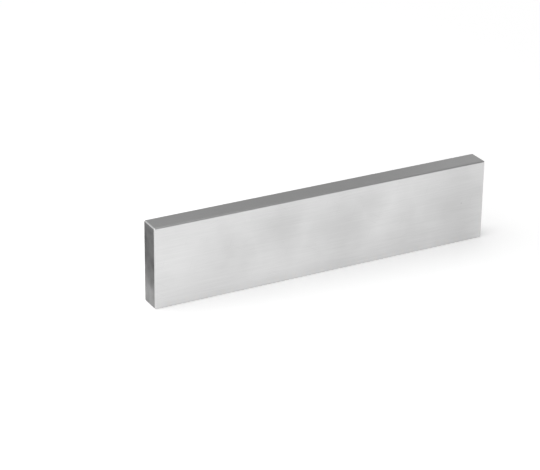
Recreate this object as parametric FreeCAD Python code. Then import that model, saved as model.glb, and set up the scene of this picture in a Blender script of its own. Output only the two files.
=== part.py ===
import FreeCAD, Part
import os

# Precision parallel: one bar of hardened tool steel, ground on every face.
# It stands on a narrow edge. X runs along the bar, Y through its thickness, and Z up its height.
# The origin is the middle of the footprint, on the bottom edge face.

# Driving dimensions, in millimetres
LENGTH = 152.4        # end face to end face
HEIGHT = 34.925       # between the two narrow faces: the size the bar is ground to
THICKNESS = 9.525     # between the two wide faces
EDGE_BREAK = 0.4      # leg of the 45 degree break that is stoned on every edge


def ground_blank():
    """The block with its six ground faces, before its edges are broken."""
    corner = FreeCAD.Vector(-LENGTH / 2, -THICKNESS / 2, 0)
    return Part.makeBox(LENGTH, THICKNESS, HEIGHT, corner)


def break_edges(blank):
    """Break all twelve edges alike, which leaves a small facet on each of the eight corners."""
    return blank.makeChamfer(EDGE_BREAK, blank.Edges).Solids[0]


os.makedirs("parts", exist_ok=True)
break_edges(ground_blank()).exportStep("parts/parallel_bar.step")
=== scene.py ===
import math

import bpy
from mathutils import Matrix, Vector


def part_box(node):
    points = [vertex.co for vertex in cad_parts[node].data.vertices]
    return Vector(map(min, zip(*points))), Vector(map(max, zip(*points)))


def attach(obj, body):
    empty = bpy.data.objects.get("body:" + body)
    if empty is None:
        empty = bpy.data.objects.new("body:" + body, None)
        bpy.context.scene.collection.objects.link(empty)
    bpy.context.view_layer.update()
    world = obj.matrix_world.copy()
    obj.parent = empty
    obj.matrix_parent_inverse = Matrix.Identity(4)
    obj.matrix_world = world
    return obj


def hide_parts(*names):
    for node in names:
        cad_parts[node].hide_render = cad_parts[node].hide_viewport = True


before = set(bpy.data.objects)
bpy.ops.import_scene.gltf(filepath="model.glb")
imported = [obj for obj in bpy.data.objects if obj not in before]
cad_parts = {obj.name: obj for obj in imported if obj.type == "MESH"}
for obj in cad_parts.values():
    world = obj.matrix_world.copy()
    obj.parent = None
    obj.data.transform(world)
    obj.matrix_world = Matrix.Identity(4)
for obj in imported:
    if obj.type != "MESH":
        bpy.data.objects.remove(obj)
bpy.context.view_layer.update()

# The bar, in metres. Its length, thickness and height come from the solid.
BAR_LOW, BAR_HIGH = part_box("parallel_bar")
BAR_CENTRE = (BAR_LOW + BAR_HIGH) / 2
BAR_HALF = (BAR_HIGH - BAR_LOW) / 2
EDGE_BREAK = 0.0004           # leg of the 45 degree break on every edge, as on the solid
BREAK_WAVER = 0.12            # share by which a hand-stoned break widens and narrows
WAVER_LENGTH = 0.009          # how far along an edge that goes on
LINE_SOFTENING = 0.00014      # rounding left where a break meets a face
SOFTENING_STEPS = 2
SOFTENED_FROM = 30            # degrees: a flatter line between two faces isn't softened
CELL = 0.0018                 # spacing of the grid on the faces
FEWEST_CELLS = 3              # across a face, however narrow it is
ON_A_SIDE = 0.9999            # a grid point further out than this is on a side of the gridded box
SQUARE_ON = 0.95              # a face that points this squarely along an axis is a ground face
HALF_ON = 0.5                 # and one this far to the front or back is a wide face or its break

# The lay: the map that the grinding lines follow. Its first direction runs across them.
LAY_MAP = "lay"
LAY_SHIFTS = (0.3, 0.6, 0.9)  # how far a face's direction shifts its map, so that no two match
LAY_STRETCH = 0.5             # how far the lines stretch a reflection across themselves

# The shared effects. A fade is the range of a noise from 0 to 1 over which an effect sets in.
WEAR_PATCHES = 420.0          # per metre, along the edges
FILM_FADE = (0.3, 0.7)
SCRATCH_FADE = (0.78, 0.84)   # near the top of the noise, so scratches are few
SCRATCH_TURNS = (0.3, -0.55, 1.25)  # radians from the grinding lines
SCRATCH_DEPTH = 0.7           # as a share of the grinding lines' depth
SPECK_CHANCE = (0.6, 1.0)     # chances over which a speck grows from nothing to the largest
SPECK_RADIUS = 0.06           # of the largest, as a share of the spacing
SPECK_SOFTNESS = 0.01

# Soft dull clouds on the ground faces: the centre in shares of the bar's half sizes, the radius in
# metres, the share of the radius that fades, and the strength
FACE_CLOUDS = (
    ((-0.26, -1, 0.30), 0.019, 1.0, 0.45),
    ((0.08, -1, 0.05), 0.024, 1.0, 0.50),
    ((0.27, -1, 0.50), 0.014, 1.0, 0.35),
    ((0.84, -1, -0.10), 0.031, 1.0, 0.60),
    ((-0.55, 1, 0.10), 0.019, 1.0, 0.55),
    ((0.12, 1, 0.45), 0.015, 1.0, 0.45),
    ((0.55, 1, -0.20), 0.021, 1.0, 0.60),
)
# Dark patches over the ends' middles: partly a real etching stain, partly painted shade standing
# for dark surroundings mirrored in the ends
END_STAINS_AND_SHADE = (
    ((-1, 0.1, 0.33), 0.0185, 0.7, 1.0),
    ((1, -0.2, 0.10), 0.0160, 0.8, 0.8),
)

# What each effect does on a finish: how far it takes the tone from bright to dull, and what it adds
# to the roughness
WIDE_EFFECTS = {
    "lines": (0.34, 0.03), "passes": (0.12, 0.02), "clouds": (0.60, 0.03), "film": (0.08, 0.03),
    "wear": (-0.09, -0.01), "scratches": (0.15, 0.04), "specks": (0.25, 0.08)}
NARROW_EFFECTS = WIDE_EFFECTS | {
    "lines": (0.28, 0.03), "film": (0.12, 0.03), "wear": (-0.05, -0.01)}
END_EFFECTS = WIDE_EFFECTS | {"lines": (0.20, 0.06), "film": (0.20, 0.03)}

# The finish of each kind of face: name, bright and dull tone, roughness, depth of the grinding
# lines and size of the oil film's patches in metres, effects, clouds. All four are one steel: the
# lower tones of the narrow faces, ends and edge breaks are painted shade, and the ends' dark tones
# are also a painted reflection of dark surroundings.
FINISHES = {
    "Wide Faces": ("ground_wide_face", 0.765, 0.47, 0.29, 3e-6, 0.020, WIDE_EFFECTS, FACE_CLOUDS),
    "Narrow Faces": ("ground_narrow_face", 0.60, 0.40, 0.29, 1.5e-6, 0.008, NARROW_EFFECTS, ()),
    "Ends": ("ground_end", 0.33, 0.06, 0.36, 3e-6, 0.005, END_EFFECTS, END_STAINS_AND_SHADE),
    "Edge Breaks": ("stoned_edge", 0.63, 0.44, 0.29, 1.5e-6, 0.008, NARROW_EFFECTS, ()),
}

# The camera, at the photograph's viewing angle
VIEW_AZIMUTH = -28.44         # degrees from straight in front, towards the left end
VIEW_ELEVATION = 24.49        # degrees above the floor
VIEW_ROLL = 0.68              # degrees
VIEW_DISTANCE = 0.8646        # metres
VIEW_AIM = Vector((-0.02274, 0, 0.01942))
LENS = 143.6                  # millimetres, on a sensor 36 mm wide
SENSOR = 36.0
FAR_CLIP = 20.0

# The studio
WHITE = (1, 1, 1, 1)
PAPER_RADIUS = 6.0            # the round sheet of white paper that the bar stands on
PAPER_CORNERS = 64
PAPER_COLOUR = (0.8, 0.8, 0.8, 1)
PAPER_NEAR = 0.13             # this far from the bar the paper starts to change into plain white
PAPER_FAR = 0.42              # and here it is plain white
PAPER_GLOW_SEEN = 0.36        # white that the paper near the bar adds for the camera
PAPER_GLOW_MIRRORED = 0.38    # and in the steel's reflections
BACKDROP_TOP = 0.12           # sine of the angle above the horizon at which the backdrop ends
ROOM_START = 0.37             # and of the one at which the room above it has its own grey
ROOM_GREY = 0.20
CEILING_GREY = 0.45

# The lamps: name, azimuth and elevation in degrees, distance, width and height in metres, and watts
LAMPS = (
    ("key_lamp", -80, 37, 0.60, 1.1, 0.72, 3.25),
    ("top_back_lamp", -175, 70, 1.2, 1.1, 1.1, 4.2),
    ("right_back_lamp", 128, 30, 1.2, 0.6, 0.6, 0.4),
    ("edge_lamp", -152, 30, 0.8, 0.3, 0.3, 0.25),
)


# Node helpers

def put(tree, kind, inputs=None, **options):
    """Add a node, set its options, then link or set its inputs, each by its name or number."""
    made = tree.nodes.new(kind)
    for option, value in options.items():
        setattr(made, option, value)
    for key, value in (inputs or {}).items():
        if isinstance(value, bpy.types.NodeSocket):
            tree.links.new(value, made.inputs[key])
        else:
            made.inputs[key].default_value = value
    return made


def number(tree, operation, *values):
    """One sum on numbers."""
    return put(tree, "ShaderNodeMath", dict(enumerate(values)), operation=operation).outputs[0]


def vector(tree, operation, *values):
    """One sum on vectors that gives a vector."""
    made = put(tree, "ShaderNodeVectorMath", dict(enumerate(values)), operation=operation)
    return made.outputs["Vector"]


def measure(tree, operation, *values):
    """One sum on vectors that gives a number."""
    made = put(tree, "ShaderNodeVectorMath", dict(enumerate(values)), operation=operation)
    return made.outputs["Value"]


def scaled(tree, value, factor):
    """A vector times a number."""
    made = put(tree, "ShaderNodeVectorMath", {0: value, "Scale": factor}, operation="SCALE")
    return made.outputs["Vector"]


def joined(tree, x, y, z):
    """A vector from three numbers."""
    return put(tree, "ShaderNodeCombineXYZ", {"X": x, "Y": y, "Z": z}).outputs[0]


def split(tree, value):
    """A vector's three numbers, under their names."""
    return put(tree, "ShaderNodeSeparateXYZ", {0: value}).outputs


def noise(tree, place, detail=2.0, scale=1.0, fineness=0.5):
    """Soft noise from 0 to 1, about 0.5. Fineness is how strong its finer layers are."""
    return put(tree, "ShaderNodeTexNoise", {
        "Vector": place, "Scale": scale, "Detail": detail, "Roughness": fineness}).outputs["Fac"]


def ramp(tree, value, start, end, first=0.0, last=1.0):
    """A value mapped smoothly from one range to another, held at its ends."""
    return put(tree, "ShaderNodeMapRange", {
        "Value": value, "From Min": start, "From Max": end, "To Min": first, "To Max": last},
        interpolation_type="SMOOTHSTEP").outputs["Result"]


def mixed(tree, factor, first, last):
    """Two colours mixed. The node has its colours on inputs 6 and 7, and their mix on output 2."""
    return put(tree, "ShaderNodeMix", {0: factor, 6: first, 7: last}, data_type="RGBA").outputs[2]


def grey(tone):
    """A plain grey."""
    return tone, tone, tone, 1


def open_tree(name, kind, inputs, outputs):
    """A node group with named sockets: an input is a name, a socket kind and a starting value."""
    tree = bpy.data.node_groups.new(name, kind)
    for label, socket_kind, value in inputs:
        socket = tree.interface.new_socket(label, in_out="INPUT", socket_type=socket_kind)
        if value is not None:
            socket.default_value = value
    for label, socket_kind in outputs:
        tree.interface.new_socket(label, in_out="OUTPUT", socket_type=socket_kind)
    return tree, put(tree, "NodeGroupInput").outputs, put(tree, "NodeGroupOutput").inputs


# Surface effects that the finishes share

def grinding_lines():
    """Fine lines along the wheel's travel, Y here, and the broader bands of its passes."""
    tree, given, result = open_tree(
        "Grinding lines", "ShaderNodeTree",
        [("Vector", "NodeSocketVector", None), ("Line Length", "NodeSocketFloat", 0.02),
         ("Line Pitch", "NodeSocketFloat", 0.0006), ("Pass Length", "NodeSocketFloat", 0.08),
         ("Pass Width", "NodeSocketFloat", 0.0025)],
        [("Lines", "NodeSocketFloat"), ("Passes", "NodeSocketFloat")])
    for width, length, output in (("Line Pitch", "Line Length", "Lines"),
                                  ("Pass Width", "Pass Length", "Passes")):
        grain = joined(tree, given[width], given[length], 1.0)
        place = vector(tree, "DIVIDE", given["Vector"], grain)
        tree.links.new(noise(tree, place, detail=4.0, fineness=0.65), result[output])
    return tree


def soft_cloud():
    """One patch about a centre, with a soft and uneven outline."""
    tree, given, result = open_tree(
        "Soft cloud", "ShaderNodeTree",
        [("Vector", "NodeSocketVector", None), ("Centre", "NodeSocketVector", (0, 0, 0)),
         ("Radius", "NodeSocketFloat", 0.01), ("Fading Share", "NodeSocketFloat", 1.0),
         ("Strength", "NodeSocketFloat", 1.0), ("Unevenness", "NodeSocketFloat", 0.7)],
        [("Mask", "NodeSocketFloat")])
    offset = vector(tree, "SUBTRACT", given["Vector"], given["Centre"])
    offset = scaled(tree, offset, number(tree, "DIVIDE", 1.0, given["Radius"]))
    swing = number(tree, "SUBTRACT", noise(tree, offset, scale=1.6), 0.5)
    away = number(tree, "MULTIPLY_ADD", swing, given["Unevenness"], measure(tree, "LENGTH", offset))
    full_until = number(tree, "SUBTRACT", 1.0, given["Fading Share"])
    tree.links.new(ramp(tree, away, full_until, 1.0, given["Strength"], 0.0), result["Mask"])
    return tree


def edge_wear():
    """A mask that is 1 at a face's edges and fades inwards.

    Of a point's distances to the block's six sides, the least is nothing on a face, so the middle
    one of the three is its distance to the nearest edge.
    """
    tree, given, result = open_tree(
        "Edge wear", "ShaderNodeTree",
        [("Vector", "NodeSocketVector", None), ("Reach", "NodeSocketFloat", 0.001),
         ("Patchiness", "NodeSocketFloat", 0.8)],
        [("Mask", "NodeSocketFloat")])
    offset = vector(tree, "ABSOLUTE", vector(tree, "SUBTRACT", given["Vector"], BAR_CENTRE))
    inward = split(tree, vector(tree, "SUBTRACT", BAR_HALF, offset))
    least = number(tree, "MINIMUM", inward["X"], inward["Y"])
    most = number(tree, "MAXIMUM", inward["X"], inward["Y"])
    middle = number(tree, "MAXIMUM", least, number(tree, "MINIMUM", most, inward["Z"]))
    patches = noise(tree, given["Vector"], detail=3.0, scale=WEAR_PATCHES)
    patches = number(tree, "SUBTRACT", patches, 0.5)
    share = number(tree, "DIVIDE", middle, given["Reach"])
    share = number(tree, "ADD", share, number(tree, "MULTIPLY", patches, given["Patchiness"]))
    tree.links.new(ramp(tree, share, 0.0, 1.0, 1.0, 0.0), result["Mask"])
    return tree


def oil_film():
    """A thin film of oil, wiped unevenly: broad soft patches from 0 to 1."""
    tree, given, result = open_tree(
        "Oil film", "ShaderNodeTree",
        [("Vector", "NodeSocketVector", None), ("Patch Size", "NodeSocketFloat", 0.02)],
        [("Film", "NodeSocketFloat")])
    place = scaled(tree, given["Vector"], number(tree, "DIVIDE", 1.0, given["Patch Size"]))
    tree.links.new(ramp(tree, noise(tree, place, detail=3.0), *FILM_FADE), result["Film"])
    return tree


def handling_marks():
    """Sparse hairline scratches in a few directions, and pin-head specks."""
    tree, given, result = open_tree(
        "Handling marks", "ShaderNodeTree",
        [("Vector", "NodeSocketVector", None), ("Scratch Length", "NodeSocketFloat", 0.011),
         ("Scratch Width", "NodeSocketFloat", 0.0002), ("Speck Spacing", "NodeSocketFloat", 0.006)],
        [("Scratches", "NodeSocketFloat"), ("Specks", "NodeSocketFloat")])
    grain = joined(tree, given["Scratch Width"], given["Scratch Length"], 1.0)
    scratches = 0.0
    for turn in SCRATCH_TURNS:
        turned = put(tree, "ShaderNodeMapping", {
            "Vector": given["Vector"], "Rotation": (0, 0, turn)}).outputs[0]
        place = vector(tree, "DIVIDE", turned, grain)
        one_way = ramp(tree, noise(tree, place, detail=0.0), *SCRATCH_FADE)
        scratches = number(tree, "MAXIMUM", scratches, one_way)
    tree.links.new(scratches, result["Scratches"])
    place = scaled(tree, given["Vector"], number(tree, "DIVIDE", 1.0, given["Speck Spacing"]))
    spots = put(tree, "ShaderNodeTexVoronoi", {"Vector": place, "Scale": 1.0}).outputs
    radius = ramp(tree, split(tree, spots["Color"])["X"], *SPECK_CHANCE, 0.0, SPECK_RADIUS)
    outside = number(tree, "SUBTRACT", spots["Distance"], radius)
    tree.links.new(ramp(tree, outside, -SPECK_SOFTNESS, SPECK_SOFTNESS, 1.0, 0.0), result["Specks"])
    return tree


GRINDING_LINES = grinding_lines()
SOFT_CLOUD = soft_cloud()
EDGE_WEAR = edge_wear()
OIL_FILM = oil_film()
HANDLING_MARKS = handling_marks()


# The bar's finishes

def on_bar(shares):
    """A place on the bar, from its shares of the bar's half sizes."""
    return BAR_CENTRE + Vector(share * half for share, half in zip(shares, BAR_HALF))


def cloud_mask(tree, place, clouds):
    """All the clouds of a face in one mask."""
    mask = 0.0
    for shares, radius, fading, strength in clouds:
        cloud = put(tree, "ShaderNodeGroup", {
            "Vector": place, "Centre": on_bar(shares), "Radius": radius, "Fading Share": fading,
            "Strength": strength}, node_tree=SOFT_CLOUD).outputs["Mask"]
        mask = number(tree, "MAXIMUM", mask, cloud)
    return mask


def ground_steel(name, bright, dull, roughness, line_depth, film_patch, effects, clouds):
    """Hardened steel off the grinding wheel, between a bright and a dull tone."""
    material = bpy.data.materials.new(name)
    material.use_nodes = True
    tree = material.node_tree
    tree.nodes.clear()
    place = put(tree, "ShaderNodeTexCoord").outputs["Object"]
    on_face = put(tree, "ShaderNodeUVMap", uv_map=LAY_MAP).outputs[0]
    ground = put(tree, "ShaderNodeGroup", {"Vector": on_face}, node_tree=GRINDING_LINES).outputs
    marks = put(tree, "ShaderNodeGroup", {"Vector": on_face}, node_tree=HANDLING_MARKS).outputs
    wear = put(tree, "ShaderNodeGroup", {"Vector": place}, node_tree=EDGE_WEAR).outputs
    film = put(tree, "ShaderNodeGroup", {
        "Vector": place, "Patch Size": film_patch}, node_tree=OIL_FILM).outputs
    masks = {
        "lines": ground["Lines"],
        "passes": ground["Passes"],
        "clouds": cloud_mask(tree, place, clouds),
        "film": film["Film"],
        "wear": wear["Mask"],
        "scratches": marks["Scratches"],
        "specks": marks["Specks"],
    }
    dullness, rough = 0.0, roughness
    for effect, (tone_share, rough_share) in effects.items():
        dullness = number(tree, "MULTIPLY_ADD", masks[effect], tone_share, dullness)
        rough = number(tree, "MULTIPLY_ADD", masks[effect], rough_share, rough)
    colour = mixed(tree, dullness, grey(bright), grey(dull))
    height = number(tree, "MULTIPLY_ADD", marks["Scratches"], -SCRATCH_DEPTH, ground["Lines"])
    bump = put(tree, "ShaderNodeBump", {"Height": height, "Strength": 1.0, "Distance": line_depth})
    across = put(tree, "ShaderNodeTangent", direction_type="UV_MAP", uv_map=LAY_MAP)
    shader = put(tree, "ShaderNodeBsdfPrincipled", {
        "Base Color": colour, "Metallic": 1.0, "Roughness": rough, "Normal": bump.outputs[0],
        "Tangent": across.outputs[0], "Anisotropic": LAY_STRETCH})
    put(tree, "ShaderNodeOutputMaterial", {"Surface": shader.outputs[0]})
    return material


# The bar

def broken_edge_block(counts):
    """A block with all its edges broken alike, laid out by one rule on a gridded box from -1 to 1.

    The grid inside each side spreads to fill that face of a block smaller by the break all round.
    A point that lies on one side of the box then moves out by the whole break, one on an edge by
    half of it each way, and one on a corner by a third, which lays the break and the corner's
    facet flat.
    """
    tree, given, result = open_tree(
        "Broken edge block", "GeometryNodeTree",
        [("Half Size", "NodeSocketVector", (1, 1, 1)), ("Centre", "NodeSocketVector", (0, 0, 0)),
         ("Edge Break", "NodeSocketFloat", 0.0004), ("Break Waver", "NodeSocketFloat", 0.1),
         ("Waver Length", "NodeSocketFloat", 0.01),
         ("Wide Faces", "NodeSocketMaterial", None), ("Narrow Faces", "NodeSocketMaterial", None),
         ("Ends", "NodeSocketMaterial", None), ("Edge Breaks", "NodeSocketMaterial", None)],
        [("Geometry", "NodeSocketGeometry")])
    shape = put(tree, "GeometryNodeMeshCube", {
        "Size": (2, 2, 2), "Vertices X": counts[0], "Vertices Y": counts[1],
        "Vertices Z": counts[2]}).outputs["Mesh"]
    spot = put(tree, "GeometryNodeInputPosition").outputs[0]

    # The break's leg at each point, as it wavers along the edges
    on_block = vector(tree, "MULTIPLY", spot, given["Half Size"])
    waver = scaled(tree, on_block, number(tree, "DIVIDE", 1.0, given["Waver Length"]))
    waver = number(tree, "MULTIPLY_ADD", noise(tree, waver, detail=1.0), 2.0, -1.0)
    swing = number(tree, "MULTIPLY", waver, given["Break Waver"])
    leg = number(tree, "MULTIPLY", given["Edge Break"], number(tree, "ADD", swing, 1.0))

    # The sides that a point lies on: 1 or 0 for each axis
    outermost = vector(tree, "SUBTRACT", vector(tree, "ABSOLUTE", spot), [ON_A_SIDE] * 3)
    outermost = vector(tree, "MAXIMUM", vector(tree, "SIGN", outermost), (0, 0, 0))
    sides = measure(tree, "DOT_PRODUCT", outermost, (1, 1, 1))

    # Of a row's cells the two outer ones become the breaks, and the others fill the face
    spread = vector(tree, "MULTIPLY", spot, [(count - 1) / (count - 3) for count in counts])
    spread = vector(tree, "MINIMUM", vector(tree, "MAXIMUM", spread, (-1, -1, -1)), (1, 1, 1))
    smaller = vector(tree, "SUBTRACT", given["Half Size"], joined(tree, leg, leg, leg))
    outward = vector(tree, "MULTIPLY", vector(tree, "SIGN", spot), outermost)
    step = scaled(tree, outward, number(tree, "DIVIDE", leg, sides))
    place = vector(tree, "ADD", vector(tree, "MULTIPLY", spread, smaller), step)
    place = vector(tree, "ADD", place, given["Centre"])
    shape = put(tree, "GeometryNodeSetPosition", {"Geometry": shape, "Position": place}).outputs[0]

    # The lay runs along the bar, and up and down on its ends
    normal = put(tree, "GeometryNodeFieldOnDomain", {
        0: put(tree, "GeometryNodeInputNormal").outputs[0]},
        data_type="FLOAT_VECTOR", domain="FACE").outputs[0]
    facing = split(tree, vector(tree, "ABSOLUTE", normal))
    here = split(tree, put(tree, "GeometryNodeInputPosition").outputs[0])
    on_wide = number(tree, "GREATER_THAN", facing["Y"], HALF_ON)
    on_end = number(tree, "GREATER_THAN", facing["X"], SQUARE_ON)
    across = put(tree, "GeometryNodeSwitch", {
        0: on_wide, 1: here["Y"], 2: here["Z"]}, input_type="FLOAT").outputs[0]
    along = put(tree, "GeometryNodeSwitch", {
        0: on_end, 1: here["X"], 2: here["Z"]}, input_type="FLOAT").outputs[0]
    along = number(tree, "ADD", along, measure(tree, "DOT_PRODUCT", normal, LAY_SHIFTS))
    shape = put(tree, "GeometryNodeStoreNamedAttribute", {
        "Geometry": shape, "Name": LAY_MAP, "Value": joined(tree, across, along, 0.0)},
        data_type="FLOAT2", domain="CORNER").outputs[0]
    shape = put(tree, "GeometryNodeSetShadeSmooth", {"Geometry": shape}).outputs[0]
    shape = put(tree, "GeometryNodeRealizeInstances", {"Geometry": shape}).outputs[0]
    shape = put(tree, "GeometryNodeSetMaterial", {
        "Geometry": shape, "Material": given["Edge Breaks"]}).outputs[0]
    for axis, faces in (("X", "Ends"), ("Y", "Wide Faces"), ("Z", "Narrow Faces")):
        square = number(tree, "GREATER_THAN", facing[axis], SQUARE_ON)
        shape = put(tree, "GeometryNodeSetMaterial", {
            "Geometry": shape, "Selection": square, "Material": given[faces]}).outputs[0]
    tree.links.new(shape, result["Geometry"])
    return tree


def grown_mesh(name, tree, values):
    """What a geometry tree grows from these inputs, as a plain mesh."""
    seed = bpy.data.objects.new(name, bpy.data.meshes.new(name))
    bpy.context.scene.collection.objects.link(seed)
    modifier = seed.modifiers.new("Shape", "NODES")
    modifier.node_group = tree
    for socket in tree.interface.items_tree:
        if socket.in_out == "INPUT":
            modifier[socket.identifier] = values[socket.name]
    graph = bpy.context.evaluated_depsgraph_get()
    grown = bpy.data.meshes.new_from_object(seed.evaluated_get(graph))
    bpy.data.objects.remove(seed)
    return grown


def ground_bar():
    """The bar with its ground faces and stoned edges, in place of the plain solid."""
    # Points in a row: one more than the face has cells, and one at either end on the next side
    counts = [max(round(2 * half / CELL), FEWEST_CELLS) + 3 for half in BAR_HALF]
    sizes = {
        "Half Size": BAR_HALF, "Centre": BAR_CENTRE, "Edge Break": EDGE_BREAK,
        "Break Waver": BREAK_WAVER, "Waver Length": WAVER_LENGTH}
    finishes = {faces: ground_steel(*finish) for faces, finish in FINISHES.items()}
    shape = grown_mesh("ground_bar", broken_edge_block(counts), sizes | finishes)
    bar = bpy.data.objects.new("ground_bar", shape)
    bpy.context.scene.collection.objects.link(bar)
    softened = bar.modifiers.new("Softened lines", "BEVEL")
    softened.width = LINE_SOFTENING
    softened.segments = SOFTENING_STEPS
    softened.limit_method = "ANGLE"
    softened.angle_limit = math.radians(SOFTENED_FROM)
    softened.harden_normals = True
    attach(bar, "root")
    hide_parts("parallel_bar")


# The studio

def white_paper():
    """Matt white paper, which turns into plain white far out, where it meets the backdrop."""
    material = bpy.data.materials.new("white_paper")
    material.use_nodes = True
    tree = material.node_tree
    tree.nodes.clear()
    ray = put(tree, "ShaderNodeLightPath").outputs
    mirrored = number(tree, "MAXIMUM", ray["Is Glossy Ray"], ray["Is Transmission Ray"])
    glow = number(tree, "MULTIPLY", mirrored, PAPER_GLOW_MIRRORED)
    glow = number(tree, "MULTIPLY_ADD", ray["Is Camera Ray"], PAPER_GLOW_SEEN, glow)
    matt = put(tree, "ShaderNodeBsdfDiffuse", {"Color": PAPER_COLOUR}).outputs[0]
    glow = put(tree, "ShaderNodeEmission", {"Color": WHITE, "Strength": glow}).outputs[0]
    near = put(tree, "ShaderNodeAddShader", {0: matt, 1: glow}).outputs[0]
    far = put(tree, "ShaderNodeEmission", {"Color": WHITE, "Strength": 1.0}).outputs[0]
    out_from_bar = measure(tree, "LENGTH", put(tree, "ShaderNodeTexCoord").outputs["Object"])
    plain = ramp(tree, out_from_bar, PAPER_NEAR, PAPER_FAR)
    plain = number(tree, "MULTIPLY", plain, number(tree, "MAXIMUM", ray["Is Camera Ray"], mirrored))
    paper = put(tree, "ShaderNodeMixShader", {0: plain, 1: near, 2: far}).outputs[0]
    put(tree, "ShaderNodeOutputMaterial", {"Surface": paper})
    return material


def paper_floor():
    """The round sheet of paper under the bar."""
    mesh = bpy.data.meshes.new("paper_floor")
    turns = [2 * math.pi * corner / PAPER_CORNERS for corner in range(PAPER_CORNERS)]
    rim = [(PAPER_RADIUS * math.cos(turn), PAPER_RADIUS * math.sin(turn), 0) for turn in turns]
    mesh.from_pydata(rim, [], [range(PAPER_CORNERS)])
    mesh.materials.append(white_paper())
    floor = bpy.data.objects.new("paper_floor", mesh)
    bpy.context.scene.collection.objects.link(floor)


def studio_world():
    """A white backdrop round the horizon, and the grey room above it."""
    world = bpy.data.worlds.new("studio")
    bpy.context.scene.world = world
    world.use_nodes = True
    tree = world.node_tree
    tree.nodes.clear()
    height = split(tree, put(tree, "ShaderNodeTexCoord").outputs["Generated"])["Z"]
    room = ramp(tree, height, ROOM_START, 1.0, ROOM_GREY, CEILING_GREY)
    light = ramp(tree, height, BACKDROP_TOP, ROOM_START, 1.0, 0.0)
    light = number(tree, "MULTIPLY_ADD", light, number(tree, "SUBTRACT", 1.0, room), room)
    back = put(tree, "ShaderNodeBackground", {"Color": WHITE, "Strength": light}).outputs[0]
    put(tree, "ShaderNodeOutputWorld", {"Surface": back})


def direction(azimuth, elevation):
    """The way out from the bar: azimuth 0 is straight in front, and a positive one to the right."""
    turn, rise = math.radians(azimuth), math.radians(elevation)
    level = math.cos(rise)
    return Vector((level * math.sin(turn), -level * math.cos(turn), math.sin(rise)))


def soft_lamp(name, azimuth, elevation, distance, width, height, power):
    """A soft box that faces the bar."""
    data = bpy.data.lights.new(name, "AREA")
    data.shape = "RECTANGLE"
    data.size, data.size_y = width, height
    data.energy = power
    lamp = bpy.data.objects.new(name, data)
    bpy.context.scene.collection.objects.link(lamp)
    away = direction(azimuth, elevation)
    lamp.location = BAR_CENTRE + away * distance
    lamp.rotation_euler = away.to_track_quat("Z", "Y").to_euler()


def photo_camera():
    """The camera, where the photograph was taken from."""
    data = bpy.data.cameras.new("photo_camera")
    data.sensor_width = SENSOR
    data.lens = LENS
    data.clip_end = FAR_CLIP
    camera = bpy.data.objects.new("photo_camera", data)
    bpy.context.scene.collection.objects.link(camera)
    away = direction(VIEW_AZIMUTH, VIEW_ELEVATION)
    camera.location = VIEW_AIM + away * VIEW_DISTANCE
    level = away.to_track_quat("Z", "Y").to_matrix()
    camera.rotation_euler = (level @ Matrix.Rotation(math.radians(VIEW_ROLL), 3, "Z")).to_euler()
    bpy.context.scene.camera = camera


ground_bar()
paper_floor()
studio_world()
for lamp in LAMPS:
    soft_lamp(*lamp)
photo_camera()
bpy.context.scene.view_settings.view_transform = "Standard"
